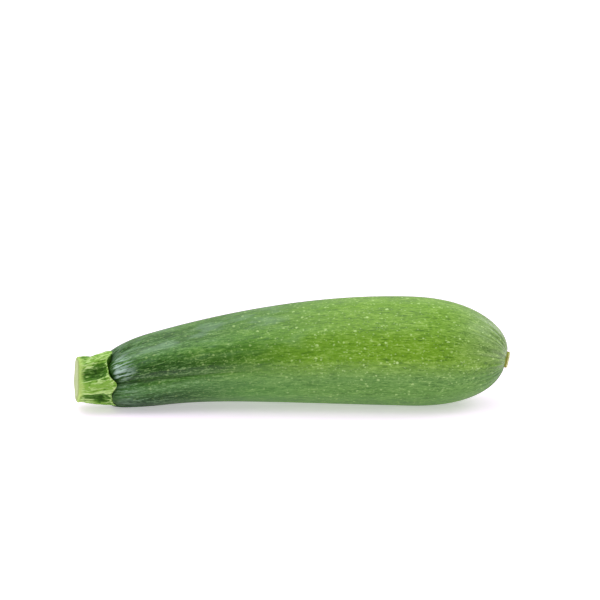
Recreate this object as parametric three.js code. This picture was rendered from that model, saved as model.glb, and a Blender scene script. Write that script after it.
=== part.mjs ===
// A courgette lying on its side, with its cut stem and its blossom scar.
// Millimetres. +X runs from the stem to the blossom end, +Z is up, and the fruit rests on Z = 0.

import * as THREE from "three";

// Driving dimensions of the fruit
const fruitAxis = [
  [-83.4, -2.3, 12.5],
  [-24.9, 5.8, 27.5],
  [70.0, 0.1, 26.9],
  [98.9, -4.7, 21.2],
]; // control points of the gently bent middle line
const neckRadius = 15.6;
const bellyRadius = 25.2;
const bellyAt = 138; // along the middle line, where the fruit is thickest
const neckFullness = 1.38; // over 1, the neck stays slim for longer before it swells
const tipSquareness = 2.22; // 2 would end the fruit in an ellipse
const shoulderLength = 21;
const shoulderDrop = 0.3; // share of the radius that the stem end rounds off

// Furrows that run from the stem's ridges onto the fruit, and the faint ribs that go on from there
const ridgeCount = 5;
const firstRidge = THREE.MathUtils.degToRad(9); // up from the fruit's front side
const furrowDepth = 1.6;
const furrowHalfWidth = THREE.MathUtils.degToRad(7);
const furrowReach = 45;
const furrowEvenness = 0.5; // depth of the far furrow against the front one
const furrowDrift = THREE.MathUtils.degToRad(11); // the furrows drift down the front side
const driftReach = 20;
const lobeSwell = 0.7;
const lobeReach = 65;
const ribHeight = 0.16;
const ribStart = 20; // from the blossom end, over which the ribs grow in

// The scalloped seat between the stem and the fruit
const seatRadius = 12;
const lobeOverlap = 1.3; // how far each ridge of the stem reaches over the fruit's shoulder
const lobePointedness = 2.2;
const shoulderBulge = 1.1; // how far the fruit bulges back between the ridges
const seatYaw = THREE.MathUtils.degToRad(8);
const seatPitch = THREE.MathUtils.degToRad(4); // the neck behind the seat rises more steeply
const seatBlend = 14;
const seatGap = 0.3;

// Driving dimensions of the stem
const stemCut = [-99.5, -4.9, 14.5]; // middle of the cut face
const stemBaseLift = 1.7; // the base stands a little higher round the middle line than below it
const liftEarliness = 0.6; // under 1, the lift starts nearer the cut
const stemCutRadius = 10.8;
const stemBaseRadius = 13.1;
const stemTwist = THREE.MathUtils.degToRad(-22); // of the ridges at the cut against those at the seat
const cutYaw = THREE.MathUtils.degToRad(8); // the cut turns a little towards the front
const cutPitch = THREE.MathUtils.degToRad(-4);
const cutRimRounding = 2.4;
const rimUnevenness = 0.15; // the rim is rounder below than above
const grooveAtCut = 0.12; // share of the radius
const grooveAtMiddle = 0.27;
const grooveAtBase = 0.16;
const grooveNarrowness = 1.4; // over 1, the grooves are narrower than the ridges

// Driving dimensions of the blossom scar and its seat
const scarRadius = 4;
const scarHeight = 1.9;
const scarRim = 0.5;
const scarNub = 1.1;
const scarHollow = 0.5;
const scarRounding = 0.1;
const scarSeatDepth = 0.6;
const scarClearance = 0.35;
const scarSeatLip = 0.45; // width of the flat edge round the seat
const scarSeatTaper = 0.1;
const pleatCount = 10;
const pleatHeight = 0.4;
const pleatReach = 7;

// How finely each surface is divided
const fruitSides = 80;
const stemSides = 60;
const scarSides = 30;
const neckRings = 6;
const bodyRings = 14;
const tipRings = 9;
const stemRings = 9;
const seatRingShares = [0.3, 0.6, 0.82, 0.94];
const cutRingShares = [0.35, 0.7];
const baseRingShares = [0.93, 0.75, 0.4];

const up = new THREE.Vector3(0, 0, 1);
const middleLine = new THREE.CubicBezierCurve3(
  ...fruitAxis.map((point) => new THREE.Vector3(...point)),
);
const fruitLength = middleLine.getLength();

// The fruit ends in the flat edge round the scar's seat
const scarEdge = scarRadius + scarClearance;
const tipShare = (1 - ((scarEdge + scarSeatLip) / bellyRadius) ** tipSquareness) ** (1 / tipSquareness);
const fruitEnd = bellyAt + (fruitLength - bellyAt) * tipShare;

// A plane across the middle line: its centre, the direction along, the side that faces the front, and the top
function planeAlong(centre, along) {
  const side = new THREE.Vector3().crossVectors(along, up).normalize();
  const top = new THREE.Vector3().crossVectors(side, along);
  return { centre, along, side, top };
}

// The unit vector that turns from +X by a yaw towards +Y and then a pitch towards +Z
function direction(yaw, pitch) {
  return new THREE.Vector3(Math.cos(pitch) * Math.cos(yaw), Math.cos(pitch) * Math.sin(yaw), Math.sin(pitch));
}

function fruitPlane(distance) {
  const share = THREE.MathUtils.clamp(distance / fruitLength, 0, 1);
  const towardsSeat = Math.max(1 - distance / seatBlend, 0) ** 2;
  const along = middleLine.getTangentAt(share).lerp(direction(seatYaw, seatPitch), towardsSeat).normalize();
  return planeAlong(middleLine.getPointAt(share), along);
}

function pointOn(plane, angle, radius, shift = 0) {
  return plane.centre
    .clone()
    .addScaledVector(plane.side, radius * Math.cos(angle))
    .addScaledVector(plane.top, radius * Math.sin(angle))
    .addScaledVector(plane.along, shift);
}

// 1 on a ridge's crest, 0 half way between two ridges
function crest(angle) {
  return 0.5 + 0.5 * Math.cos(ridgeCount * (angle - firstRidge));
}

// The angle from the nearest ridge
function offRidge(angle) {
  const step = (2 * Math.PI) / ridgeCount;
  const turns = (angle - firstRidge) / step;
  return (turns - Math.round(turns)) * step;
}

// Where the stem and the fruit meet, as a shift along the middle line
function seat(angle, radius) {
  const share = radius / seatRadius;
  const lobe = crest(angle) ** lobePointedness;
  return lobeOverlap * lobe * share ** 2 - shoulderBulge * (1 - lobe) * share ** 4;
}

// The plain round radius of the fruit at a distance along it
function roundRadius(distance) {
  const swell = Math.sin((Math.PI / 2) * Math.min(distance / bellyAt, 1));
  let radius = neckRadius + (bellyRadius - neckRadius) * swell ** neckFullness;
  if (distance > bellyAt) {
    const toTip = Math.min((distance - bellyAt) / (fruitLength - bellyAt), 1);
    radius *= (1 - toTip ** tipSquareness) ** (1 / tipSquareness);
  }
  if (distance < shoulderLength) {
    const toStem = 1 - distance / shoulderLength;
    radius *= 1 - shoulderDrop * (1 - Math.sqrt(1 - toStem ** 2));
  }
  return radius;
}

// The fruit's radius with its furrows, ribs and the pleats round the blossom scar
function fruitRadius(angle, distance) {
  const ridged = angle + furrowDrift * (1 - Math.exp(-distance / driftReach));
  const facing = Math.cos((ridged - firstRidge) / 2) ** 2;
  const depth = furrowDepth * (furrowEvenness + (1 - furrowEvenness) * facing);
  const furrow = Math.exp(-((offRidge(ridged) / furrowHalfWidth) ** 2));
  const furrowFade = Math.exp(-((distance / furrowReach) ** 2));
  const lobeFade = Math.exp(-((distance / lobeReach) ** 2));
  const fromTip = fruitLength - distance;
  const ribFade = 1 - Math.exp(-fromTip / ribStart);
  const pleatFade = Math.exp(-((fromTip / pleatReach) ** 2));
  return (
    roundRadius(distance) -
    depth * furrow * furrowFade +
    lobeSwell * (0.5 - crest(ridged)) * lobeFade +
    ribHeight * Math.cos(2 * ridgeCount * (ridged - firstRidge)) * ribFade +
    pleatHeight * Math.cos(pleatCount * angle) * pleatFade
  );
}

// One closed surface that faces outwards, from a point through rings of points to a point at the other end
function closedSkin(firstPoint, rings, lastPoint) {
  const sides = rings[0].length;
  const points = [firstPoint, ...rings.flat(), lastPoint];
  const last = points.length - 1;
  const triangles = [];
  for (let i = 0; i < sides; i++) {
    const next = (i + 1) % sides;
    triangles.push(0, 1 + i, 1 + next);
    for (let k = 0; k < rings.length - 1; k++) {
      const here = 1 + k * sides;
      const there = here + sides;
      triangles.push(here + i, there + i, there + next);
      triangles.push(here + i, there + next, here + next);
    }
    const end = 1 + (rings.length - 1) * sides;
    triangles.push(end + i, last, end + next);
  }
  const geometry = new THREE.BufferGeometry().setFromPoints(points);
  geometry.setIndex(triangles);
  geometry.computeVertexNormals();
  return geometry;
}

function ringOf(sides, place) {
  return Array.from({ length: sides }, (_, i) => place(firstRidge + (2 * Math.PI * i) / sides));
}

// Nothing reaches below the surface that the fruit lies on, so its weight flattens two small spots
function rested(point) {
  point.z = Math.max(point.z, 0);
  return point;
}

function fruitGeometry() {
  const start = fruitPlane(0);
  const rings = [];
  for (const share of seatRingShares) {
    rings.push(
      ringOf(fruitSides, (angle) => {
        const radius = share * fruitRadius(angle, 0);
        return rested(pointOn(start, angle, radius, seat(angle, radius)));
      }),
    );
  }

  const tipTurn = Math.asin(tipShare);
  const distances = [];
  for (let k = 0; k <= neckRings; k++) distances.push(seatBlend * (k / neckRings) ** 2);
  for (let k = 1; k <= bodyRings; k++) distances.push(seatBlend + ((bellyAt - seatBlend) * k) / bodyRings);
  for (let k = 1; k <= tipRings; k++) {
    distances.push(bellyAt + (fruitLength - bellyAt) * Math.sin((tipTurn * k) / tipRings));
  }
  for (const distance of distances) {
    const plane = fruitPlane(distance);
    const seatFade = Math.max(1 - distance / seatBlend, 0) ** 2;
    rings.push(
      ringOf(fruitSides, (angle) => {
        const radius = fruitRadius(angle, distance);
        return rested(pointOn(plane, angle, radius, seatFade * seat(angle, fruitRadius(angle, 0))));
      }),
    );
  }

  const end = fruitPlane(fruitEnd);
  rings.push(ringOf(fruitSides, (angle) => pointOn(end, angle, scarEdge, -scarSeatTaper / 2)));
  rings.push(ringOf(fruitSides, (angle) => pointOn(end, angle, scarEdge - scarSeatTaper, -scarSeatDepth)));
  return closedSkin(pointOn(start, 0, 0), rings, pointOn(end, 0, 0, -scarSeatDepth));
}

// The stem's planes turn evenly from the oblique cut to the fruit's shoulder
function stemPlane(share) {
  const seatPlane = fruitPlane(0);
  const centre = new THREE.Vector3(...stemCut).lerp(seatPlane.centre, share);
  const along = direction(cutYaw, cutPitch).lerp(seatPlane.along, share).normalize();
  return planeAlong(centre, along);
}

function stemRadius(angle, share) {
  const plain = THREE.MathUtils.lerp(stemCutRadius, stemBaseRadius, share);
  const ends = THREE.MathUtils.lerp(grooveAtCut, grooveAtBase, share);
  const groove = ends + (grooveAtMiddle - ends) * Math.sin(Math.PI * share ** 0.8) ** 1.2;
  const uneven = 1 + 0.02 * Math.cos(angle - 1) + 0.015 * Math.cos(2 * angle + 0.6);
  const lift = stemBaseLift * share ** liftEarliness * Math.sin(angle);
  return plain * uneven * (1 - groove * (1 - crest(angle)) ** grooveNarrowness) + lift;
}

function rimRounding(angle) {
  return cutRimRounding * (1 - rimUnevenness * Math.sin(angle + stemTwist));
}

function stemGeometry() {
  const cut = stemPlane(0);
  const rings = [];
  for (const share of cutRingShares) {
    rings.push(ringOf(stemSides, (angle) => pointOn(cut, angle + stemTwist, share * stemRadius(angle, 0))));
  }
  for (const [inwards, shift] of [[1, 0], [0.3, 0.3]]) {
    rings.push(
      ringOf(stemSides, (angle) => {
        const rounding = rimRounding(angle);
        return pointOn(cut, angle + stemTwist, stemRadius(angle, 0) - inwards * rounding, shift * rounding);
      }),
    );
  }
  for (let k = 1; k <= stemRings; k++) {
    const share = k / stemRings;
    const plane = stemPlane(share);
    rings.push(
      ringOf(stemSides, (angle) => {
        const radius = stemRadius(angle, share);
        const shift = (seat(angle, radius) - seatGap) * share ** 3;
        return pointOn(plane, angle + stemTwist * (1 - share), radius, shift);
      }),
    );
  }
  const base = stemPlane(1);
  for (const share of baseRingShares) {
    rings.push(
      ringOf(stemSides, (angle) => {
        const radius = share * stemRadius(angle, 1);
        return pointOn(base, angle, radius, seat(angle, radius) - seatGap);
      }),
    );
  }
  return closedSkin(pointOn(cut, 0, 0), rings, pointOn(base, 0, 0, -seatGap));
}

// A corky disc with a raised uneven rim, a shallow hollow and a small nub where the flower's stalk broke off
function scarGeometry() {
  const plane = fruitPlane(fruitEnd);
  const bottom = seatGap - scarSeatDepth;
  const top = bottom + scarHeight;
  const profile = [
    [scarRadius - 2 * scarRounding, bottom],
    [scarRadius, bottom + 3 * scarRounding],
    [scarRadius, top - scarHollow],
    [scarRadius - 2 * scarRounding, top - scarRounding],
    [scarRadius - scarRim, top],
    [scarRadius - 2 * scarRim, top - scarHollow + scarRounding],
    [scarNub, top - scarHollow],
    [0.6 * scarNub, top - scarRounding],
  ];
  const rings = profile.map(([radius, shift]) =>
    ringOf(scarSides, (angle) => {
      const uneven = 1 - 0.03 * (1 + Math.cos(ridgeCount * angle)) - 0.02 * (1 + Math.cos(2 * angle + 1));
      return pointOn(plane, angle, radius * uneven, shift);
    }),
  );
  return closedSkin(pointOn(plane, 0, 0, bottom), rings, pointOn(plane, 0, 0, top));
}

function piece(name, geometry, color, roughness) {
  const material = new THREE.MeshStandardMaterial({ color, roughness, metalness: 0 });
  const mesh = new THREE.Mesh(geometry, material);
  mesh.name = name;
  return mesh;
}

const courgette = new THREE.Group();
courgette.add(piece("fruit", fruitGeometry(), 0x6a9440, 0.42));
courgette.add(piece("stem", stemGeometry(), 0x86b04a, 0.55));
courgette.add(piece("blossom_scar", scarGeometry(), 0xcfc583, 0.85));

export default courgette;
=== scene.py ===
import math

import bpy
import numpy as np
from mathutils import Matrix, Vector, noise


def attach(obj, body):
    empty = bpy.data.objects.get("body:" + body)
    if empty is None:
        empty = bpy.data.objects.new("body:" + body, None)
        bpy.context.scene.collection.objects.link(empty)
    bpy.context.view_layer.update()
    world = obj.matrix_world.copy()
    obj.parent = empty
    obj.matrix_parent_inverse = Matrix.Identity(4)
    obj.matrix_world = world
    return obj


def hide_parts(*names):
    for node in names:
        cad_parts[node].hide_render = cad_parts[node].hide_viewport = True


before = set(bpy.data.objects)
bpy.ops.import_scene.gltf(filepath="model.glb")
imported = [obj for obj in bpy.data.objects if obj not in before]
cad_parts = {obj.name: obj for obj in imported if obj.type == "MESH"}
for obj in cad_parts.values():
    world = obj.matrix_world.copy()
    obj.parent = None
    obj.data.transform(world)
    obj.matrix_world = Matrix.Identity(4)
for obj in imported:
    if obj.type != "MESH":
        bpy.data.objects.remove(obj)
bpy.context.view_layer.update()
mm = 0.001
tau = 2 * math.pi

# Camera, low in front of the courgette's near side. Azimuth 0 looks along +Y.
cameraView = {
    "azimuth": -2.5,  # degrees
    "elevation": 15.0,
    "distance": 1100.0,  # in millimetres, as the target is
    "target": (3.86, 3.46, 48.7),
    "lens": 143.5,
    "sensor": 36.0,
}


def placeCamera(view):
    turn, rise = math.radians(view["azimuth"]), math.radians(view["elevation"])
    back = Vector((math.sin(turn) * math.cos(rise), -math.cos(turn) * math.cos(rise), math.sin(rise)))
    data = bpy.data.cameras.new("viewCamera")
    data.lens = view["lens"]
    data.sensor_width = view["sensor"]
    camera = bpy.data.objects.new("viewCamera", data)
    camera.location = (Vector(view["target"]) + view["distance"] * back) * mm
    camera.rotation_euler = (-back).to_track_quat("-Z", "Y").to_euler()
    bpy.context.collection.objects.link(camera)
    bpy.context.scene.camera = camera


placeCamera(cameraView)
print("camera placed")


def linear(code):  # sRGB hex to linear colour
    parts = [int(code[i : i + 2], 16) / 255 for i in (1, 3, 5)]
    return (*[p / 12.92 if p <= 0.04045 else ((p + 0.055) / 1.055) ** 2.4 for p in parts], 1.0)


def addNode(tree, kind, settings, inputs, output=0):
    # adds a node with its settings, fills its inputs with values or links, and gives one of its outputs
    node = tree.nodes.new("ShaderNode" + kind)
    for name, value in settings.items():
        setattr(node, name, value)
    for name, value in inputs.items():
        if isinstance(value, bpy.types.NodeSocket):
            tree.links.new(value, node.inputs[name])
        else:
            node.inputs[name].default_value = value
    return node.outputs[output] if node.outputs else None


colourMix = {"data_type": "RGBA"}  # settings of Mix and Map Range nodes
darker = {"data_type": "RGBA", "blend_type": "MULTIPLY"}
lighter = {"data_type": "RGBA", "blend_type": "SCREEN"}
smooth = {"interpolation_type": "SMOOTHSTEP"}


def newMaterial(name):
    material = bpy.data.materials.new(name)
    material.use_nodes = True
    material.node_tree.nodes.clear()
    return material


# Helpers for a skin made of rings round a middle line

def bezier(points, share):
    p = [np.array(point) for point in points]
    t = np.asarray(share, float)[..., None]
    at = (1 - t) ** 3 * p[0] + 3 * (1 - t) ** 2 * t * p[1] + 3 * (1 - t) * t**2 * p[2] + t**3 * p[3]
    slope = 3 * (1 - t) ** 2 * (p[1] - p[0]) + 6 * (1 - t) * t * (p[2] - p[1]) + 3 * t**2 * (p[3] - p[2])
    return at, slope


def direction(yaw, pitch):
    return np.array([math.cos(pitch) * math.cos(yaw), math.cos(pitch) * math.sin(yaw), math.sin(pitch)])


def planeAlong(centre, along):
    # a plane across the line: its centre, and the ways along, to the near side and up
    along = along / np.linalg.norm(along)
    side = np.cross(along, (0, 0, 1))
    side /= np.linalg.norm(side)
    return centre, along, side, np.cross(side, along)


def onPlane(plane, angle, radius, shift):
    centre, along, side, top = plane
    across = np.outer(radius * np.cos(angle), side) + np.outer(radius * np.sin(angle), top)
    return centre + across + np.outer(shift + 0 * angle, along)


def unevenness(points, octaves=3):  # smooth noise about 0, with features about 1 unit wide
    return np.array([noise.fractal(Vector(point), 1.0, 2.0, octaves) for point in points])


def roundAbout(angle, radius):  # places on a circle, for unevenness that closes up
    return np.column_stack([radius * np.cos(angle), radius * np.sin(angle), 0 * angle])


class Skin:
    # A closed skin that grows ring by ring. Each point keeps its place on the straightened piece, and
    # how far it lies in a hollow, which the colour darkens as painted shade.
    def __init__(self, sides):
        self.angle = fruit["firstRidge"] + tau * np.arange(sides) / sides
        self.points, self.straight, self.hollow = [], [], []

    def addRing(self, plane, radius, shift, along, hollow, twist=0.0, spread=None):
        # spread is the radius on the straightened piece, where that is not the real one
        angle, flat = self.angle, 0 * self.angle
        spread = radius if spread is None else spread
        self.points.append(onPlane(plane, angle + twist, radius + flat, shift + flat))
        self.straight.append(np.column_stack([along + flat, spread * np.cos(angle), spread * np.sin(angle)]))
        self.hollow.append(hollow + flat)

    def addPoint(self, plane, shift, along):
        self.points.append(onPlane(plane, np.zeros(1), np.zeros(1), shift))
        self.straight.append(np.array([[along, 0, 0]]))
        self.hollow.append(np.zeros(1))

    def finish(self, name, nodeName):
        sides = len(self.angle)
        points = np.vstack(self.points)
        points[:, 2] = np.maximum(points[:, 2], 0)  # flattened where it lies on the surface
        here = np.arange(sides)
        after = (here + 1) % sides
        faces = [(0, 1 + a, 1 + b) for a, b in zip(here, after)]
        for low in range(1, len(points) - 1 - sides, sides):
            faces += [(low + a, low + sides + a, low + sides + b, low + b) for a, b in zip(here, after)]
        end = len(points) - 1
        faces += [(end - sides + a, end, end - sides + b) for a, b in zip(here, after)]
        mesh = bpy.data.meshes.new(name)
        mesh.from_pydata((points * mm).tolist(), [], [tuple(int(v) for v in face) for face in faces])
        mesh.shade_smooth()
        straight = np.vstack(self.straight).astype(np.float32)
        mesh.attributes.new("straight", "FLOAT_VECTOR", "POINT").data.foreach_set("vector", straight.ravel())
        hollow = np.concatenate(self.hollow).astype(np.float32)
        mesh.attributes.new("hollow", "FLOAT", "POINT").data.foreach_set("value", hollow)
        piece = bpy.data.objects.new(name, mesh)
        bpy.context.collection.objects.link(piece)
        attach(piece, "root")
        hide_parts(nodeName)
        return piece


# The fruit. Lengths in millimetres, along the bent middle line from the stem.
fruit = {
    "line": [(-83.4, -2.3, 12.5), (-24.9, 5.8, 27.5), (70.0, 0.1, 26.9), (98.9, -4.7, 21.2)],
    "neckRadius": 15.6,
    "bellyRadius": 25.2,
    "bellyAt": 138.0,
    "neckFullness": 1.38,
    "tipSquareness": 2.22,
    "shoulderLength": 21.0,
    "shoulderDrop": 0.3,
    "ridges": 5,
    "firstRidge": math.radians(9),
    "furrowDepth": 1.6,
    "furrowHalfWidth": math.radians(7),
    "furrowReach": 45.0,
    "furrowEvenness": 0.5,
    "furrowDrift": math.radians(11),
    "driftReach": 20.0,
    "creaseDepth": 0.5,  # a fine sharp crease at the bottom of each furrow
    "creaseHalfWidth": math.radians(2.3),
    "creaseReach": 60.0,
    "creaseEvenness": 0.1,
    "creaseFalloff": 8,  # how fast the creases fade away from the near furrow
    "lobeSwell": 0.7,
    "lobeReach": 65.0,
    "ribHeight": 0.16,
    "ribStart": 20.0,
    "wrinkles": 48,  # fine ones, where the shoulder is pinched round the stem
    "wrinkleHeight": 0.2,
    "wrinkleReach": 12.0,
    "wrinkleFade": (0.6, 0.8),  # least height, and how much more it is in places
    "wrinkleWander": 5,
    "wrinkleDarkness": 0.6,
    "pleats": 10,
    "pleatHeight": 0.4,
    "pleatReach": 7.0,
    "puckerDarkness": 0.6,
    "puckers": 34,  # fine lines that run into the scar
    "puckerHeight": 0.22,
    "puckerReach": 12.0,
    "puckerWander": 4,
    "unevenPatches": 3,  # more gives smaller patches of strong and weak lines
    "inset": 0.05,  # keeps the finer skin within the faceted one
    "spreadAtTip": 12.0,  # radius that the patterns take where the fruit's own comes down to 0
    "lineSteps": 2001,
    "sides": 400,
    "seatRings": 14,
    "shoulderRings": 40,
    "bodyRings": 130,
    "tipRings": 60,
    # colours and finish
    "stemEndGreen": "#2f6418",
    "middleGreen": "#5a901c",
    "bellyGreen": "#71a21c",
    "lobeLightGreen": "#5a9440",  # painted light on the lobes between the furrows, near the stem
    # painted shade in the creases and in the narrow gap at the stem
    "creaseShadeGreen": "#1f4a06",
    "floorReflectionGreen": "#5a8c49",  # painted reflection of the pale floor: a paler greyish green on the lower side
    "shadeGreen": "#0f3a08",  # painted shade on the lower side of the neck
    "bandShadeGreen": "#154700",  # painted shade above the near furrow
    # painted sheen on the upper side of the blossom end
    "tipSheenGreen": "#8ba670",
    "darkStreak": "#96b06e",  # streaks darken the green below them by this
    "paleStreak": "#6b8444",  # or lighten it by this, greyer towards the stem
    "paleStreakAtStem": "#627f5e",
    "fleck": "#bde188",
    # the bluish white of the painted highlights and soft reflections
    "glint": "#bcdcca",
    "patternSizes": {
        "wander": (40.0, 18.0),
        "streaks": (7.0, 0.85),
        "dashes": (2.0, 0.55),  # real ones are about 0.3 mm wide, drawn coarser to show
        "clusters": (12.0, 3.0),
        "glintPatches": (9.0, 1.2),
        "softReflection": (14.0, 5.0),
    },
    "clustering": 0.16,
    "seatRaggedness": 2.0,
    "fleckSizes": (  # spacing, radius as a share of it, strength, and the share of them that is kept
        (4.4, 0.17, 1.0, 0.8),
        (2.8, 0.2, 0.8, 0.75),
        (1.7, 0.28, 0.5, 0.7),
        (1.1, 0.32, 0.35, 0.75),
    ),
    "fleckCore": 0.45,
    "fleckSpread": 0.25,  # how far apart in strength the flecks are
    "fleckRaggedness": 0.25,
    "raggedScale": 0.9,  # per millimetre
    "fleckLength": 1.2,
    "fleckBump": 0.5,
    "creaseDarkness": 0.9,
    "ior": 1.42,
    "specularLevel": 0.28,
    "coatIor": 1.45,
    "coatRoughness": 0.16,
    "bump": 0.2,
    "bumpDepth": 0.4,
    # Inputs of Map Range nodes: while a value runs from 1 to 2, the result runs from 3 to 4, where they
    # are given, or from 0 to 1.
    "spans": {
        "wander": {1: 0.3, 2: 0.7, 3: -16.0, 4: 16.0},
        # places along the straightened fruit, in millimetres from the stem
        "toMiddle": {1: 0.0, 2: 65.0},
        "toBelly": {1: 55.0, 2: 120.0},
        "lobeFade": {1: 110.0, 2: 25.0},
        "bandFade": {1: 110.0, 2: 15.0, 4: 0.85},
        "neckShade": {1: 75.0, 2: 15.0, 4: 0.95},
        "neckTopShade": {1: 105.0, 2: 70.0, 4: 0.45},
        "atTip": {1: 150.0, 2: 185.0, 4: 0.5},
        "contrast": {1: 60.0, 2: 160.0, 3: 0.85, 4: 1.12},
        "stemContrast": {1: 70.0, 2: 20.0, 4: 0.55},
        "fleckFade": {1: 20.0, 2: 140.0, 3: 0.35},
        "glinted": {1: 16.0, 2: 5.0, 4: 0.9},
        "fromSeat": {1: 0.5, 2: 4.0},
        "softReflectionReach": {1: 115.0, 2: 60.0},
        "atSeat": {1: 5.5, 2: 0.5, 4: 0.85},
        # heights above its middle line, in millimetres
        "below": {1: 3.0, 2: -8.0, 4: 0.7},
        "lowDown": {1: -5.0, 2: -11.0},
        "onTop": {1: 16.0, 2: 20.0},
        "highUp": {1: 0.0, 2: 8.0},
        "lowerFade": {1: 3.0, 2: -7.0, 3: 1.0, 4: 0.85},
        "lowerFleckFade": {1: 3.0, 2: -7.0, 3: 1.0, 4: 0.6},
        "overFurrow": {1: 3.0, 2: 9.0, 3: 0.14},
        "belowTop": {1: 19.0, 2: 14.0, 3: 0.25},
        "softReflectionHeight": {1: 6.0, 2: 14.0},
        "coat": {1: -10.0, 2: 0.0, 4: 0.35},  # rubbed off below
        # turns from the near furrow, in radians, and the cosine of the turn from any furrow
        "aboveFurrow": {1: -0.02, 2: 0.1},
        "underCrest": {1: 0.75, 2: 0.3},
        "onLobe": {1: 0.1, 2: -1.0, 3: 0.0, 4: 0.45},
        # strengths of the patterns
        "dark": {1: 0.49, 2: 0.39, 4: 0.72},
        "pale": {1: 0.52, 2: 0.62, 4: 0.95},
        "patches": {1: 0.45, 2: 0.54},
        "softReflection": {1: 0.45, 2: 0.7, 4: 0.16},
        "rough": {1: 0.3, 2: 0.7, 3: 0.39, 4: 0.53},
    },
}
# Where the stem and the fruit meet, scalloped: the stem's ridges reach over the shoulder, and the fruit
# bulges back between them
seatShape = {
    "radius": 12.0,
    "overlap": 1.3,
    "pointedness": 2.2,
    "bulge": 1.1,
    "yaw": math.radians(8),
    "pitch": math.radians(4),
    "blend": 14.0,
    "gap": 0.3,
    "innermost": 0.08,  # the first and last ring across it, as shares of its radius
    "outermost": 0.97,
}

steps = np.linspace(0, 1, fruit["lineSteps"])
stepPoints = bezier(fruit["line"], steps)[0]
stepLengths = np.concatenate([[0], np.cumsum(np.linalg.norm(np.diff(stepPoints, axis=0), axis=1))])
fruitLength = stepLengths[-1]


def fruitPlane(distance):
    centre, slope = bezier(fruit["line"], np.interp(distance, stepLengths, steps))
    towardsSeat = max(1 - distance / seatShape["blend"], 0) ** 2
    upright = direction(seatShape["yaw"], seatShape["pitch"])
    return planeAlong(centre, slope / np.linalg.norm(slope) * (1 - towardsSeat) + upright * towardsSeat)


def crest(angle):  # 1 on a ridge of the stem, 0 half way between two
    return 0.5 + 0.5 * np.cos(fruit["ridges"] * (angle - fruit["firstRidge"]))


def seatShift(angle, radius):
    share = radius / seatShape["radius"]
    lobe = crest(angle) ** seatShape["pointedness"]
    return seatShape["overlap"] * lobe * share**2 - seatShape["bulge"] * (1 - lobe) * share**4


def roundRadius(distance):
    f = fruit
    swell = math.sin(math.pi / 2 * min(distance / f["bellyAt"], 1))
    radius = f["neckRadius"] + (f["bellyRadius"] - f["neckRadius"]) * swell ** f["neckFullness"]
    if distance > f["bellyAt"]:
        toTip = min((distance - f["bellyAt"]) / (fruitLength - f["bellyAt"]), 1)
        radius *= (1 - toTip ** f["tipSquareness"]) ** (1 / f["tipSquareness"])
    if distance < f["shoulderLength"]:
        toStem = 1 - distance / f["shoulderLength"]
        radius *= 1 - f["shoulderDrop"] * (1 - math.sqrt(1 - toStem**2))
    return radius


def tipShare(radius):  # how far from the belly to the tip the fruit has narrowed to this radius
    squareness = fruit["tipSquareness"]
    return (1 - (radius / fruit["bellyRadius"]) ** squareness) ** (1 / squareness)


def drifted(angle, distance):  # the angle against the furrows, which drift down the near side
    return angle + fruit["furrowDrift"] * (1 - math.exp(-distance / fruit["driftReach"]))


def furrowShare(angle, halfWidth, evenness, falloff=2):
    # 1 at the bottom of the near furrow, less in the others
    step = tau / fruit["ridges"]
    turns = (angle - fruit["firstRidge"]) / step
    strength = evenness + (1 - evenness) * np.cos((angle - fruit["firstRidge"]) / 2) ** falloff
    return strength * np.exp(-((((turns - np.round(turns)) * step) / halfWidth) ** 2))


def fruitRadius(angle, distance):
    f = fruit
    fromTip = fruitLength - distance
    ridged = drifted(angle, distance)
    furrows = furrowShare(ridged, f["furrowHalfWidth"], f["furrowEvenness"])
    ribs = np.cos(2 * f["ridges"] * (ridged - f["firstRidge"])) * (1 - math.exp(-fromTip / f["ribStart"]))
    return (
        roundRadius(distance)
        - f["furrowDepth"] * furrows * math.exp(-((distance / f["furrowReach"]) ** 2))
        + f["lobeSwell"] * (0.5 - crest(ridged)) * math.exp(-((distance / f["lobeReach"]) ** 2))
        + f["ribHeight"] * ribs
        + f["pleatHeight"] * np.cos(f["pleats"] * angle) * math.exp(-((fromTip / f["pleatReach"]) ** 2))
    )


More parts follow.
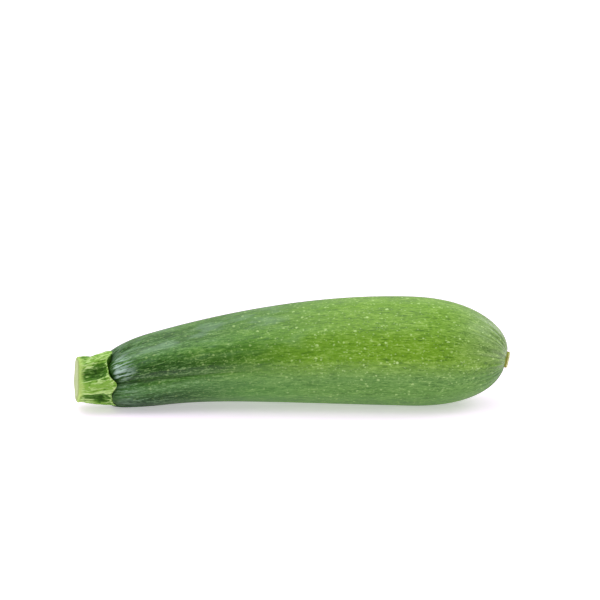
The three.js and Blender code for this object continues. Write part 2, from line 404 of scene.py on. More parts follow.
def makeFruit():
    f, s = fruit, seatShape
    skin = Skin(f["sides"])
    angle = skin.angle
    patchy = unevenness(roundAbout(angle, f["unevenPatches"]))
    wrinkleFade = f["wrinkleFade"][0] + f["wrinkleFade"][1] * patchy
    wrinkleWave = np.cos(f["wrinkles"] * angle + f["wrinkleWander"] * patchy)
    puckerWave = np.cos(f["puckers"] * angle + f["puckerWander"] * patchy)
    start = fruitPlane(0)
    rim = fruitRadius(angle, 0)
    skin.addPoint(start, 0, 0)
    for share in np.linspace(s["innermost"], s["outermost"], f["seatRings"]):
        skin.addRing(start, share * rim, seatShift(angle, share * rim), 0, 1)

    scarEdge = scar["radius"] + scar["clearance"]
    tipLength = fruitLength - f["bellyAt"]
    toTip = tipShare(scarEdge + scar["seatLip"])
    distances = [
        *(s["blend"] * np.linspace(0, 1, f["shoulderRings"]) ** 2),
        *np.linspace(s["blend"], f["bellyAt"], f["bodyRings"])[1:],
        *(f["bellyAt"] + tipLength * np.sin(math.asin(toTip) * np.linspace(0, 1, f["tipRings"])[1:])),
    ]
    along, before = 0, (0, roundRadius(0))
    for distance in distances:
        ridged = drifted(angle, distance)
        crease = furrowShare(ridged, f["creaseHalfWidth"], f["creaseEvenness"], f["creaseFalloff"])
        crease = crease * math.exp(-((distance / f["creaseReach"]) ** 2))
        wrinkleShare = min(distance, 1) * math.exp(-((distance / f["wrinkleReach"]) ** 2))
        wrinkles = (wrinkleWave * wrinkleFade - 1) * wrinkleShare
        puckerShare = math.exp(-(((distances[-1] - distance) / f["puckerReach"]) ** 2))
        puckers = (puckerWave * wrinkleFade - 1) * puckerShare
        radius = fruitRadius(angle, distance) - f["creaseDepth"] * crease
        radius = radius + f["wrinkleHeight"] * wrinkles + f["puckerHeight"] * puckers - f["inset"]
        shift = max(1 - distance / s["blend"], 0) ** 2 * seatShift(angle, rim)
        here = (distance, roundRadius(distance))
        along += math.dist(here, before)
        before = here
        # the streaks run closer together where the fruit is thin
        spread = f["spreadAtTip"] + (1 - f["spreadAtTip"] / f["bellyRadius"]) * here[1]
        # painted shade in the valleys of the wrinkles and puckers, taken with the creases below
        pinched = np.maximum(
            f["wrinkleDarkness"] * (0.5 - 0.5 * wrinkleWave) * wrinkleShare,
            f["puckerDarkness"] * (0.5 - 0.5 * puckerWave) * puckerShare,
        )
        hollow = np.maximum(crease, pinched)
        skin.addRing(fruitPlane(distance), radius, shift, along + shift, hollow, spread=spread)

    end = fruitPlane(distances[-1])
    for outwards, depth in (*scar["seatEdge"], (-scar["seatTaper"], scar["seatDepth"])):
        skin.addRing(end, scarEdge + outwards, -depth, along, 0)
    skin.addPoint(end, -scar["seatDepth"], along)
    return skin.finish("courgette_skin", "fruit")


# Courgette skin, grown: a thin waxy cuticle over green flesh. It gives a satin sheen, darker and bluish at
# the stem and yellower at the belly, with fine streaks along the length and pale flecks.
# Light and shade are painted into its colour too: highlights beside the stem, soft reflections higher up, a
# reflection of the floor below and a sheen on top of the blossom end, and shade in the creases, above the
# near furrow and along the neck.
def waxySkin():
    f, spans = fruit, fruit["spans"]
    material = newMaterial("courgette skin, grown waxy")
    tree = material.node_tree
    place = addNode(tree, "Attribute", {"attribute_name": "straight"}, {}, "Vector")
    hollow = addNode(tree, "Attribute", {"attribute_name": "hollow"}, {}, "Fac")
    along = addNode(tree, "SeparateXYZ", {}, {0: place}, 0)
    near = addNode(tree, "SeparateXYZ", {}, {0: place}, 1)
    above = addNode(tree, "SeparateXYZ", {}, {0: place}, 2)

    # each pattern's features, so long and so wide in millimetres
    patternPlaces = {}
    for pattern, (length, width) in f["patternSizes"].items():
        scale = (1 / length, 1 / width, 1 / width)
        patternPlaces[pattern] = addNode(tree, "VectorMath", {"operation": "MULTIPLY"}, {0: place, 1: scale})

    # colour along the length, with a wandering border
    wander = addNode(tree, "TexNoise", {}, {"Vector": patternPlaces["wander"], "Scale": 1.0, "Detail": 2.0})
    wander = addNode(tree, "MapRange", {}, {0: wander, **spans["wander"]})
    shifted = addNode(tree, "Math", {"operation": "ADD"}, {0: along, 1: wander})
    toMiddle = addNode(tree, "MapRange", smooth, {0: shifted, **spans["toMiddle"]})
    toBelly = addNode(tree, "MapRange", smooth, {0: shifted, **spans["toBelly"]})
    green = addNode(
        tree, "Mix", colourMix,
        {0: toMiddle, 6: linear(f["stemEndGreen"]), 7: linear(f["middleGreen"])}, 2,
    )
    green = addNode(tree, "Mix", colourMix, {0: toBelly, 6: green, 7: linear(f["bellyGreen"])}, 2)

    # painted reflection of the pale floor: paler and greyer below
    below = addNode(tree, "MapRange", smooth, {0: above, **spans["below"]})
    green = addNode(tree, "Mix", colourMix, {0: below, 6: green, 7: linear(f["floorReflectionGreen"])}, 2)

    # painted light: the lobes near the stem are lighter than the furrows between them
    turn = addNode(tree, "Math", {"operation": "ARCTAN2"}, {0: above, 1: near})
    drift = addNode(tree, "Math", {"operation": "DIVIDE"}, {0: along, 1: -f["driftReach"]})
    drift = addNode(tree, "Math", {"operation": "EXPONENT"}, {0: drift})
    drift = addNode(
        tree, "Math", {"operation": "MULTIPLY_ADD"},
        {0: drift, 1: -f["furrowDrift"], 2: f["furrowDrift"] - f["firstRidge"]},
    )
    fromFurrow = addNode(tree, "Math", {"operation": "ADD"}, {0: turn, 1: drift})
    turn = addNode(tree, "Math", {"operation": "MULTIPLY"}, {0: fromFurrow, 1: float(f["ridges"])})
    inFurrow = addNode(tree, "Math", {"operation": "COSINE"}, {0: turn})
    lobeFade = addNode(tree, "MapRange", smooth, {0: along, **spans["lobeFade"]})
    onLobe = addNode(tree, "MapRange", {}, {0: inFurrow, **spans["onLobe"]})
    onLobe = addNode(tree, "Math", {"operation": "MULTIPLY"}, {0: onLobe, 1: lobeFade})
    green = addNode(tree, "Mix", colourMix, {0: onLobe, 6: green, 7: linear(f["lobeLightGreen"])}, 2)

    # painted shade: a dark band on the upper side of the near furrow, and the neck dark below
    aboveFurrow = addNode(tree, "MapRange", smooth, {0: fromFurrow, **spans["aboveFurrow"]})
    underCrest = addNode(tree, "MapRange", smooth, {0: fromFurrow, **spans["underCrest"]})
    bandFade = addNode(tree, "MapRange", smooth, {0: along, **spans["bandFade"]})
    for amount in (aboveFurrow, underCrest):
        bandFade = addNode(tree, "Math", {"operation": "MULTIPLY"}, {0: bandFade, 1: amount})
    green = addNode(tree, "Mix", colourMix, {0: bandFade, 6: green, 7: linear(f["bandShadeGreen"])}, 2)
    neckShade = addNode(tree, "MapRange", smooth, {0: along, **spans["neckShade"]})
    lowDown = addNode(tree, "MapRange", smooth, {0: above, **spans["lowDown"]})
    neckShade = addNode(tree, "Math", {"operation": "MULTIPLY"}, {0: neckShade, 1: lowDown})
    green = addNode(tree, "Mix", colourMix, {0: neckShade, 6: green, 7: linear(f["shadeGreen"])}, 2)

    # painted shade: the neck is a little darker along its top too
    neckTopShade = addNode(tree, "MapRange", smooth, {0: along, **spans["neckTopShade"]})
    onTop = addNode(tree, "MapRange", smooth, {0: above, **spans["onTop"]})
    neckTopShade = addNode(tree, "Math", {"operation": "MULTIPLY"}, {0: neckTopShade, 1: onTop})
    green = addNode(tree, "Mix", colourMix, {0: neckTopShade, 6: green, 7: linear(f["stemEndGreen"])}, 2)

    # painted sheen: the upper side of the blossom end is a paler, greyer green
    atTip = addNode(tree, "MapRange", smooth, {0: along, **spans["atTip"]})
    highUp = addNode(tree, "MapRange", smooth, {0: above, **spans["highUp"]})
    atTip = addNode(tree, "Math", {"operation": "MULTIPLY"}, {0: atTip, 1: highUp})
    green = addNode(tree, "Mix", colourMix, {0: atTip, 6: green, 7: linear(f["tipSheenGreen"])}, 2)

    # fine wavy streaks along the length, and short dashes between them
    streaks = addNode(
        tree, "TexNoise", {},
        {
            "Vector": patternPlaces["streaks"], "Scale": 1.0, "Detail": 3.0,
            "Roughness": 0.65, "Distortion": 0.5,
        },
    )
    dashes = addNode(
        tree, "TexNoise", {},
        {"Vector": patternPlaces["dashes"], "Scale": 1.0, "Detail": 2.0, "Roughness": 0.7},
    )
    grain = addNode(tree, "Mix", {}, {0: 0.5, 2: streaks, 3: dashes})
    clusters = addNode(
        tree, "TexNoise", {}, {"Vector": patternPlaces["clusters"], "Scale": 1.0, "Detail": 2.0}
    )
    grain = addNode(tree, "Math", {"operation": "MULTIPLY_ADD"}, {0: clusters, 1: f["clustering"], 2: grain})
    grain = addNode(tree, "Math", {"operation": "SUBTRACT"}, {0: grain, 1: 0.5 * f["clustering"]})
    lowerFade = addNode(tree, "MapRange", smooth, {0: above, **spans["lowerFade"]})
    contrast = addNode(tree, "MapRange", smooth, {0: along, **spans["contrast"]})
    stemContrast = addNode(tree, "MapRange", smooth, {0: along, **spans["stemContrast"]})
    contrast = addNode(tree, "Math", {"operation": "ADD"}, {0: contrast, 1: stemContrast})
    contrast = addNode(tree, "Math", {"operation": "MULTIPLY"}, {0: contrast, 1: lowerFade})
    dark = addNode(tree, "MapRange", {}, {0: grain, **spans["dark"]})
    dark = addNode(tree, "Math", {"operation": "MULTIPLY"}, {0: dark, 1: contrast})
    pale = addNode(tree, "MapRange", {}, {0: grain, **spans["pale"]})
    pale = addNode(tree, "Math", {"operation": "MULTIPLY"}, {0: pale, 1: contrast})
    green = addNode(tree, "Mix", darker, {0: dark, 6: green, 7: linear(f["darkStreak"])}, 2)
    lightening = addNode(
        tree, "Mix", colourMix,
        {0: toMiddle, 6: linear(f["paleStreakAtStem"]), 7: linear(f["paleStreak"])}, 2,
    )
    green = addNode(tree, "Mix", lighter, {0: pale, 6: green, 7: lightening}, 2)

    # pale flecks of four sizes, each size in cells of its own, with ragged edges
    ragged = addNode(
        tree, "TexNoise", {}, {"Vector": place, "Scale": f["raggedScale"], "Detail": 1.0}, "Color"
    )
    raggedness = (f["fleckRaggedness"],) * 3
    flecks = 0.0
    for spacing, size, strength, kept in f["fleckSizes"]:
        cellScale = (1 / spacing / f["fleckLength"], 1 / spacing, 1 / spacing)
        cellPlace = addNode(tree, "VectorMath", {"operation": "MULTIPLY"}, {0: place, 1: cellScale})
        cellPlace = addNode(
            tree, "VectorMath", {"operation": "MULTIPLY_ADD"}, {0: ragged, 1: raggedness, 2: cellPlace}
        )
        fromMiddle = addNode(tree, "TexVoronoi", {}, {"Vector": cellPlace, "Scale": 1.0}, "Distance")
        draw = addNode(tree, "TexVoronoi", {}, {"Vector": cellPlace, "Scale": 1.0}, "Color")
        draw = addNode(tree, "SeparateColor", {}, {0: draw})
        spot = addNode(tree, "MapRange", smooth, {0: fromMiddle, 1: size, 2: size * f["fleckCore"]})
        left = 1 - kept
        chosen = addNode(tree, "MapRange", {}, {0: draw, 1: left, 2: left + f["fleckSpread"], 4: strength})
        spot = addNode(tree, "Math", {"operation": "MULTIPLY"}, {0: spot, 1: chosen})
        flecks = addNode(tree, "Math", {"operation": "MAXIMUM"}, {0: flecks, 1: spot})
    fleckFade = addNode(tree, "MapRange", smooth, {0: along, **spans["fleckFade"]})
    lowerFleckFade = addNode(tree, "MapRange", smooth, {0: above, **spans["lowerFleckFade"]})
    for amount in (fleckFade, lowerFleckFade):
        flecks = addNode(tree, "Math", {"operation": "MULTIPLY"}, {0: flecks, 1: amount})
    green = addNode(tree, "Mix", colourMix, {0: flecks, 6: green, 7: linear(f["fleck"])}, 2)

    # painted highlights: bluish-white glints in patches on the lobes beside the stem, and painted soft
    # reflections in patches higher up
    patches = addNode(
        tree, "TexNoise", {}, {"Vector": patternPlaces["glintPatches"], "Scale": 1.0, "Detail": 3.0}
    )
    patches = addNode(tree, "MapRange", {}, {0: patches, **spans["patches"]})
    glinted = addNode(tree, "MapRange", smooth, {0: along, **spans["glinted"]})
    fromSeat = addNode(tree, "MapRange", smooth, {0: along, **spans["fromSeat"]})
    overFurrow = addNode(tree, "MapRange", smooth, {0: above, **spans["overFurrow"]})
    belowTop = addNode(tree, "MapRange", smooth, {0: above, **spans["belowTop"]})
    for amount in (patches, fromSeat, overFurrow, belowTop):
        glinted = addNode(tree, "Math", {"operation": "MULTIPLY"}, {0: glinted, 1: amount})
    softReflection = addNode(tree, "TexNoise", {}, {"Vector": patternPlaces["softReflection"], "Scale": 1.0, "Detail": 2.0})
    softReflection = addNode(tree, "MapRange", smooth, {0: softReflection, **spans["softReflection"]})
    softReflectionReach = addNode(tree, "MapRange", smooth, {0: along, **spans["softReflectionReach"]})
    softReflectionHeight = addNode(tree, "MapRange", smooth, {0: above, **spans["softReflectionHeight"]})
    for amount in (softReflectionHeight, softReflectionReach):
        softReflection = addNode(tree, "Math", {"operation": "MULTIPLY"}, {0: softReflection, 1: amount})
    glinted = addNode(tree, "Math", {"operation": "MAXIMUM"}, {0: glinted, 1: softReflection})
    green = addNode(tree, "Mix", colourMix, {0: glinted, 6: green, 7: linear(f["glint"])}, 2)

    # painted shade in the creases, and a painted shadow in the narrow gap at the stem
    creased = addNode(tree, "Math", {"operation": "MULTIPLY"}, {0: hollow, 1: f["creaseDarkness"]})
    green = addNode(tree, "Mix", colourMix, {0: creased, 6: green, 7: linear(f["creaseShadeGreen"])}, 2)
    atSeat = addNode(
        tree, "Math", {"operation": "MULTIPLY_ADD"}, {0: patches, 1: f["seatRaggedness"], 2: along}
    )
    atSeat = addNode(tree, "MapRange", smooth, {0: atSeat, **spans["atSeat"]})
    green = addNode(tree, "Mix", colourMix, {0: atSeat, 6: green, 7: linear(f["creaseShadeGreen"])}, 2)

    height = addNode(tree, "Math", {"operation": "MULTIPLY_ADD"}, {0: flecks, 1: f["fleckBump"], 2: grain})
    bumpDepth = f["bumpDepth"] * mm
    bump = addNode(tree, "Bump", {}, {"Strength": f["bump"], "Distance": bumpDepth, "Height": height})
    rough = addNode(tree, "MapRange", {}, {0: grain, **spans["rough"]})
    coat = addNode(tree, "MapRange", {}, {0: above, **spans["coat"]})
    shader = addNode(
        tree, "BsdfPrincipled", {},
        {
            "Base Color": green, "Roughness": rough, "IOR": f["ior"],
            "Specular IOR Level": f["specularLevel"], "Coat Weight": coat,
            "Coat Roughness": f["coatRoughness"], "Coat IOR": f["coatIor"], "Normal": bump,
        },
    )
    addNode(tree, "OutputMaterial", {}, {"Surface": shader})
    return material


# The stem, an oblique five-ribbed stalk. Lengths in millimetres.
stem = {
    "cut": (-99.5, -4.9, 14.5),
    "baseLift": 1.7,
    "liftEarliness": 0.6,
    "cutRadius": 10.8,
    "baseRadius": 13.1,
    "twist": math.radians(-22),
    "cutYaw": math.radians(8),
    "cutPitch": math.radians(-4),
    "rimRounding": 2.4,
    "rimUnevenness": 0.15,  # rounder below
    "rimDepth": 0.6,  # share of the rounding
    "grooveAtCut": 0.12,
    "grooveAtMiddle": 0.27,
    "grooveAtBase": 0.16,
    "grooveNarrowness": 1.4,
    "grooveSkew": 0.8,  # below 1, a groove is deepest nearer the cut
    "grooveSwell": 1.2,
    "unevenness": ((0.02, 1, -1), (0.015, 2, 0.6)),  # share, times round, turn
    "grooveShade": (  # shares of the length, and how dark the painted shade in the grooves is there
        (0, 0.15, 0.5, 0.75, 1),
        (0.3, 0.65, 1.0, 0.9, 0.25),
    ),
    "valleyGain": 1.8,  # how sharply a groove darkens, and where it starts to
    "valleyStart": 0.4,
    "inset": 0.06,
    "dish": 0.35,
    "fibreHeight": 0.5,
    "fibreSize": (9.0, 1.5),  # long, wide
    "bumpHeight": 0.16,
    "bumpSize": (1.8, 1.0),
    "reliefSunk": 0.4,  # share of the relief that lies below the plain surface
    "reliefRise": 10,  # it fades out over a tenth of the length at each end
    "seatFade": 3,  # more keeps the scallops nearer the fruit
    "sides": 360,
    "innermost": 0.04,  # the first ring on the cut, and the last one on the seat, as shares of the radius
    "baseInnermost": 0.05,
    "cutRings": 22,
    "rimRings": 7,
    "rimStart": 0.15,  # the first ring of the rounding, as a share of it
    "sideRings": 110,
    "baseRings": 20,
    # colours and finish
    "ridge": "#84b445",
    "pale": "#c6e692",
    "groove": "#3a7403",
    "grooveBottomShade": "#204a00",
    "cutFace": "#b8cd86",
    "cutRimHighlight": "#b8d872",
    "cutEdge": "#7c7f58",
    "streakSize": (20.0, 0.8),
    "mottleSize": (2.4, 1.3),
    "roughness": 0.55,
    "ior": 1.42,
    "specularLevel": 0.2,
    "bump": 0.6,
    "bumpDepth": 0.5,
    "grooveMottling": 3.2,
    "faceMottling": 0.55,
    "rimWander": 5.0,
    # inputs of Map Range nodes, as for the fruit
    "spans": {
        # strengths of the patterns
        "fibre": {1: 0.5, 2: 0.58, 4: 0.85},
        "shade": {1: 0.46, 2: 0.34, 4: 0.35},
        "grooved": {1: -1.35, 2: -1.05, 4: 0.85},
        "deep": {1: -1.0, 2: -0.4, 4: 0.9},
        # millimetres from the cut
        "highlightNearCut": {1: 5.8, 2: 3.8, 4: 0.8},
        "onEdge": {1: 0.75, 2: 0.4, 4: 0.5},
        "onCut": {1: 0.4, 2: 0.25},
    },
}


def stemPlane(share):
    centre, along = fruitPlane(0)[:2]
    cutAlong = direction(stem["cutYaw"], stem["cutPitch"])
    return planeAlong(
        np.array(stem["cut"]) * (1 - share) + centre * share, cutAlong * (1 - share) + along * share
    )


def stemRadius(angle, share):
    t = stem
    plain = t["cutRadius"] + (t["baseRadius"] - t["cutRadius"]) * share
    ends = t["grooveAtCut"] + (t["grooveAtBase"] - t["grooveAtCut"]) * share
    swell = max(math.sin(math.pi * share ** t["grooveSkew"]), 0) ** t["grooveSwell"]
    groove = ends + (t["grooveAtMiddle"] - ends) * swell
    uneven = sum((part * np.cos(count * angle + turn) for part, count, turn in t["unevenness"]), 1.0)
    lift = t["baseLift"] * share ** t["liftEarliness"] * np.sin(angle)
    return plain * uneven * (1 - groove * (1 - crest(angle)) ** t["grooveNarrowness"]) + lift


def makeStem():
    t, gap = stem, seatShape["gap"]
    skin = Skin(t["sides"])
    angle = skin.angle
    valley = np.clip((1 - crest(angle)) * t["valleyGain"] - t["valleyStart"], 0, 1)
    length = np.linalg.norm(np.array(t["cut"]) - fruitPlane(0)[0])
    cut = stemPlane(0)
    cutRadius = stemRadius(angle, 0)
    rounding = t["rimRounding"] * (1 - t["rimUnevenness"] * np.sin(angle + t["twist"]))
    inner = 1 - rounding / cutRadius
    skin.addPoint(cut, t["inset"] + t["dish"], 0)
    for share in np.linspace(t["innermost"], 1, t["cutRings"]):
        dish = t["inset"] + t["dish"] * (1 - share**2)
        skin.addRing(cut, share * inner * cutRadius, dish, 0, 0, t["twist"])
    for turn in np.linspace(t["rimStart"], 1, t["rimRings"]) * math.pi / 2:
        shift = t["rimDepth"] * rounding * (1 - math.cos(turn))
        radius = cutRadius - rounding * (1 - math.sin(turn))
        skin.addRing(cut, radius, t["inset"] + shift, shift, 0, t["twist"])

    around = t["cutRadius"] * np.column_stack([np.cos(angle), np.sin(angle)])
    rimEnd = t["rimDepth"] * rounding.max() / length
    for share in np.linspace(rimEnd, 1, t["sideRings"])[1:]:
        along = np.full(len(angle), share * length)
        fibres, bumps = [
            unevenness(np.column_stack([along / long, around / wide]))
            for long, wide in (t["fibreSize"], t["bumpSize"])
        ]
        sunk = t["reliefSunk"]
        relief = t["fibreHeight"] * (fibres - sunk) + t["bumpHeight"] * (bumps - sunk)
        relief = relief * min(1, (1 - share) * t["reliefRise"]) * min(1, share * t["reliefRise"])
        radius = stemRadius(angle, share) + relief
        shift = (seatShift(angle, radius) - gap) * share ** t["seatFade"]
        hollow = valley * np.interp(share, *t["grooveShade"])
        skin.addRing(stemPlane(share), radius, shift, share * length, hollow, t["twist"] * (1 - share))
    base = stemPlane(1)
    baseRadius = stemRadius(angle, 1)
    for share in np.linspace(seatShape["outermost"], t["baseInnermost"], t["baseRings"]):
        skin.addRing(base, share * baseRadius, seatShift(angle, share * baseRadius) - gap, length, 1)
    skin.addPoint(base, -gap, length)
    return skin.finish("courgette_stem", "stem")


# Courgette stalk, grown and cut across: fibrous and matt. The eye sees yellow-green ribs with fine pale
# fibres, dark grooves in painted shade, and a pale cut face inside a bright rim, a painted highlight.
def ribbedStalk():
    t, spans = stem, stem["spans"]
    material = newMaterial("courgette stalk, grown and cut")
    tree = material.node_tree
    place = addNode(tree, "Attribute", {"attribute_name": "straight"}, {}, "Vector")
    hollow = addNode(tree, "Attribute", {"attribute_name": "hollow"}, {}, "Fac")
    along = addNode(tree, "SeparateXYZ", {}, {0: place}, 0)

    noises = {}
    for pattern in ("streakSize", "mottleSize"):
        length, width = t[pattern]
        scale = (1 / length, 1 / width, 1 / width)
        patternPlace = addNode(tree, "VectorMath", {"operation": "MULTIPLY"}, {0: place, 1: scale})
        noises[pattern] = addNode(
            tree, "TexNoise", {}, {"Vector": patternPlace, "Scale": 1.0, "Detail": 2.0, "Roughness": 0.55}
        )
    streaks, mottles = noises["streakSize"], noises["mottleSize"]

    # ribs with pale fibres, and painted shade in the grooves, dark and mottled
    fibre = addNode(tree, "MapRange", {}, {0: streaks, **spans["fibre"]})
    green = addNode(tree, "Mix", colourMix, {0: fibre, 6: linear(t["ridge"]), 7: linear(t["pale"])}, 2)
    shade = addNode(tree, "MapRange", {}, {0: mottles, **spans["shade"]})
    green = addNode(tree, "Mix", colourMix, {0: shade, 6: green, 7: linear(t["groove"])}, 2)
    grooved = addNode(tree, "Mix", {}, {0: 0.5, 2: streaks, 3: mottles})
    grooved = addNode(
        tree, "Math", {"operation": "MULTIPLY_ADD"}, {0: grooved, 1: -t["grooveMottling"], 2: hollow}
    )
    deep = addNode(tree, "MapRange", {}, {0: grooved, **spans["deep"]})
    grooved = addNode(tree, "MapRange", {}, {0: grooved, **spans["grooved"]})
    green = addNode(tree, "Mix", colourMix, {0: grooved, 6: green, 7: linear(t["groove"])}, 2)
    green = addNode(tree, "Mix", colourMix, {0: deep, 6: green, 7: linear(t["grooveBottomShade"])}, 2)

    # a painted highlight in a bright band behind the rim, then the pale cut face and its dry edge
    highlightNearCut = addNode(tree, "Math", {"operation": "MULTIPLY_ADD"}, {0: streaks, 1: t["rimWander"], 2: along})
    highlightNearCut = addNode(tree, "MapRange", smooth, {0: highlightNearCut, **spans["highlightNearCut"]})
    green = addNode(tree, "Mix", colourMix, {0: highlightNearCut, 6: green, 7: linear(t["cutRimHighlight"])}, 2)
    onEdge = addNode(tree, "MapRange", {}, {0: along, **spans["onEdge"]})
    green = addNode(tree, "Mix", colourMix, {0: onEdge, 6: green, 7: linear(t["cutEdge"])}, 2)
    onCut = addNode(tree, "MapRange", {}, {0: along, **spans["onCut"]})
    faceMottle = addNode(tree, "Math", {"operation": "MULTIPLY"}, {0: shade, 1: t["faceMottling"]})
    face = addNode(
        tree, "Mix", colourMix, {0: faceMottle, 6: linear(t["cutFace"]), 7: linear(t["cutEdge"])}, 2
    )
    green = addNode(tree, "Mix", colourMix, {0: onCut, 6: green, 7: face}, 2)

    bumpDepth = t["bumpDepth"] * mm
    bump = addNode(tree, "Bump", {}, {"Strength": t["bump"], "Distance": bumpDepth, "Height": streaks})
    shader = addNode(
        tree, "BsdfPrincipled", {},
        {
            "Base Color": green, "Roughness": t["roughness"], "IOR": t["ior"],
            "Specular IOR Level": t["specularLevel"], "Normal": bump,
        },
    )
    addNode(tree, "OutputMaterial", {}, {"Surface": shader})
    return material


# The scar that the flower left, a small dry disc. Lengths in millimetres.
scar = {
    "radius": 4.0,
    "height": 1.9,
    "rim": 0.5,
    "nub": 1.1,
    "hollow": 0.5,
    "rounding": 0.1,
    "seatDepth": 0.6,
    "clearance": 0.35,
    "seatLip": 0.45,
    "seatTaper": 0.1,
    "seatEdge": ((0.12, -0.02), (0, 0.08), (-0.08, 0.3)),  # outwards and inwards into the fruit
    "lobeDepth": 0.03,  # how far its outline strays from a circle
    "ovalness": 0.02,
    "crumbs": 0.12,
    "crumbPatches": 4,  # more gives smaller crumbs
    "crumbsAbove": 0.5,
    "crumbsSunk": 0.06,
    "nubTop": 0.6,
    "sides": 120,
    "rings": 64,
    # colours and finish
    "ochre": "#a2a53f",
    "pale": "#d4dc94",
    "brown": "#736a2b",
    "grain": 0.7,
    "roughness": 0.8,
    "ior": 1.45,
    "bump": 0.5,
    "bumpDepth": 0.3,
    "edgeBrowning": 0.7,
    "edges": ((0.65, 0.85), (1.62, 1.5)),  # how far up it is brownest, and where that has faded
    # inputs of Map Range nodes, as for the fruit
    "spans": {
        "climbed": {1: 0.75, 2: 0.95},  # millimetres up the side
        "stained": {1: 0.52, 2: 0.7, 4: 0.8},
    },
}


def makeScar():
    c = scar
    skin = Skin(c["sides"])
    angle = skin.angle
    tipLength = fruitLength - fruit["bellyAt"]
    plane = fruitPlane(fruit["bellyAt"] + tipLength * tipShare(c["radius"] + c["clearance"] + c["seatLip"]))
    bottom = seatShape["gap"] - c["seatDepth"]
    top = bottom + c["height"]
    lobed, oval = np.cos(fruit["ridges"] * angle), np.cos(2 * angle + 1)
    uneven = 1 - c["lobeDepth"] * (1 + lobed) - c["ovalness"] * (1 + oval)
    profile = [
        (c["radius"] - 2 * c["rounding"], bottom),
        (c["radius"], bottom + 3 * c["rounding"]),
        (c["radius"], top - c["hollow"]),
        (c["radius"] - 2 * c["rounding"], top - c["rounding"]),
        (c["radius"] - c["rim"], top),
        (c["radius"] - 2 * c["rim"], top - c["hollow"] + c["rounding"]),
        (c["nub"], top - c["hollow"]),
        (c["nubTop"] * c["nub"], top - c["rounding"]),
    ]
    crumbs = c["crumbs"] * unevenness(roundAbout(angle, c["crumbPatches"]))
    corners = np.arange(len(profile))
    skin.addPoint(plane, bottom, bottom)
    for place in np.linspace(0, len(profile) - 1, c["rings"]):
        radius = np.interp(place, corners, [corner[0] for corner in profile])
        shift = np.interp(place, corners, [corner[1] for corner in profile])
        raised = min(max(shift - bottom - c["crumbsAbove"], 0), 1)
        crumbled = raised * np.minimum(crumbs - c["crumbsSunk"], 0)
        skin.addRing(plane, radius * uneven, shift + crumbled, shift, 0)
    skin.addPoint(plane, top - c["rounding"], top)
    return skin.finish("blossom_cork", "blossom_scar")


# Cork, grown over the scar of the flower: dry and matt, ochre at its foot and pale on top, with brown
# crumbling edges
def dryCork():
    c, spans = scar, scar["spans"]
    material = newMaterial("cork, grown")
    tree = material.node_tree
    place = addNode(tree, "Attribute", {"attribute_name": "straight"}, {}, "Vector")
    along = addNode(tree, "SeparateXYZ", {}, {0: place}, 0)
    grain = addNode(tree, "TexNoise", {}, {"Vector": place, "Scale": 1 / c["grain"], "Detail": 5.0})
    climbed = addNode(tree, "MapRange", {}, {0: along, **spans["climbed"]})
    tan = addNode(tree, "Mix", colourMix, {0: climbed, 6: linear(c["ochre"]), 7: linear(c["pale"])}, 2)
    for low, high in c["edges"]:
        edge = addNode(tree, "MapRange", {}, {0: along, 1: high, 2: low, 4: c["edgeBrowning"]})
        beyond = addNode(tree, "MapRange", {}, {0: along, 1: 2 * low - high, 2: low})
        edge = addNode(tree, "Math", {"operation": "MULTIPLY"}, {0: edge, 1: beyond})
        tan = addNode(tree, "Mix", colourMix, {0: edge, 6: tan, 7: linear(c["brown"])}, 2)
    stained = addNode(tree, "MapRange", {}, {0: grain, **spans["stained"]})
    tan = addNode(tree, "Mix", colourMix, {0: stained, 6: tan, 7: linear(c["brown"])}, 2)
    bumpDepth = c["bumpDepth"] * mm
    bump = addNode(tree, "Bump", {}, {"Strength": c["bump"], "Distance": bumpDepth, "Height": grain})
    shader = addNode(
        tree, "BsdfPrincipled", {},
        {"Base Color": tan, "Roughness": c["roughness"], "IOR": c["ior"], "Normal": bump},
    )
    addNode(tree, "OutputMaterial", {}, {"Surface": shader})
    return material


makeFruit().data.materials.append(waxySkin())
print("fruit made")
makeStem().data.materials.append(ribbedStalk())
print("stem made")
makeScar().data.materials.append(dryCork())
print("blossom scar made")


# A plain white studio: a pale floor lit from below, a sky that is bright above and dim low in front, a
# softbox above and two small lamps at the right
studio = {
    "floor": "#f8e4ff",  # a little violet, against the green light that the skin throws on it
    "floorSize": 8.0,  # metres
    "floorGap": 0.02,  # in millimetres, so that no two faces lie in one plane
    "floorGlow": 0.435,
    # inputs of Map Range nodes, as for the fruit, from the parts of a direction of length 1
    "sky": {1: 0.05, 2: 0.7, 3: 0.45, 4: 0.95},
    "front": {1: -0.25, 2: -0.8, 4: 0.7},
    "lowDown": {1: 0.8, 2: 0.4},
    # watts, metres
    "softbox": {"power": 7.2, "size": (1.5, 1.1), "place": (-0.25, 0.05, 1.45)},
    "sideLight": {"power": 1.6, "size": (0.4, 0.5), "place": (0.85, 0.1, 0.72)},
    "rimLight": {"power": 1.5, "size": (0.25, 0.6), "place": (0.8, 0.9, 0.4)},
}


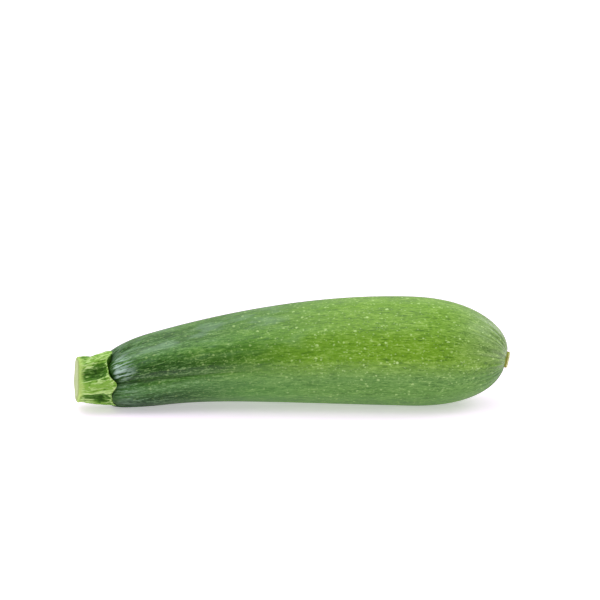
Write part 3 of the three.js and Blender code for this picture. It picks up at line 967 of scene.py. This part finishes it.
def makeStudio(k):
    half = k["floorSize"] / 2
    mesh = bpy.data.meshes.new("floor")
    corners = [(-half, -half, 0), (half, -half, 0), (half, half, 0), (-half, half, 0)]
    mesh.from_pydata(corners, [], [(0, 1, 2, 3)])
    floor = bpy.data.objects.new("floor", mesh)
    floor.location.z = -k["floorGap"] * mm
    bpy.context.collection.objects.link(floor)
    material = newMaterial("acrylic, opal, lit from below")
    tree = material.node_tree
    shader = addNode(
        tree, "BsdfPrincipled", {},
        {
            "Base Color": linear(k["floor"]), "Roughness": 0.9, "Specular IOR Level": 0.1,
            "Emission Color": (1, 1, 1, 1), "Emission Strength": k["floorGlow"],
        },
    )
    addNode(tree, "OutputMaterial", {}, {"Surface": shader})
    mesh.materials.append(material)

    world = bpy.data.worlds.new("studio")
    world.use_nodes = True
    tree = world.node_tree
    tree.nodes.clear()
    towards = addNode(tree, "TexCoord", {}, {}, "Generated")
    forwards = addNode(tree, "SeparateXYZ", {}, {0: towards}, 1)
    upwards = addNode(tree, "SeparateXYZ", {}, {0: towards}, 2)
    sky = addNode(tree, "MapRange", smooth, {0: upwards, **k["sky"]})
    front = addNode(tree, "MapRange", smooth, {0: forwards, **k["front"]})
    lowDown = addNode(tree, "MapRange", smooth, {0: upwards, **k["lowDown"]})
    dimmed = addNode(tree, "Math", {"operation": "MULTIPLY"}, {0: front, 1: lowDown})
    kept = addNode(tree, "Math", {"operation": "SUBTRACT"}, {0: 1.0, 1: dimmed})
    strength = addNode(tree, "Math", {"operation": "MULTIPLY"}, {0: sky, 1: kept})
    background = addNode(tree, "Background", {}, {"Color": (1, 1, 1, 1), "Strength": strength})
    addNode(tree, "OutputWorld", {}, {"Surface": background})
    bpy.context.scene.world = world

    for name in ("softbox", "sideLight", "rimLight"):
        lamp = bpy.data.lights.new(name, "AREA")
        lamp.shape = "RECTANGLE"
        lamp.size, lamp.size_y = k[name]["size"]
        lamp.energy = k[name]["power"]
        light = bpy.data.objects.new(name, lamp)
        light.location = k[name]["place"]
        light.rotation_euler = (-light.location).to_track_quat("-Z", "Y").to_euler()
        bpy.context.collection.objects.link(light)


makeStudio(studio)
bpy.context.scene.view_settings.view_transform = "Standard"
print("studio made")
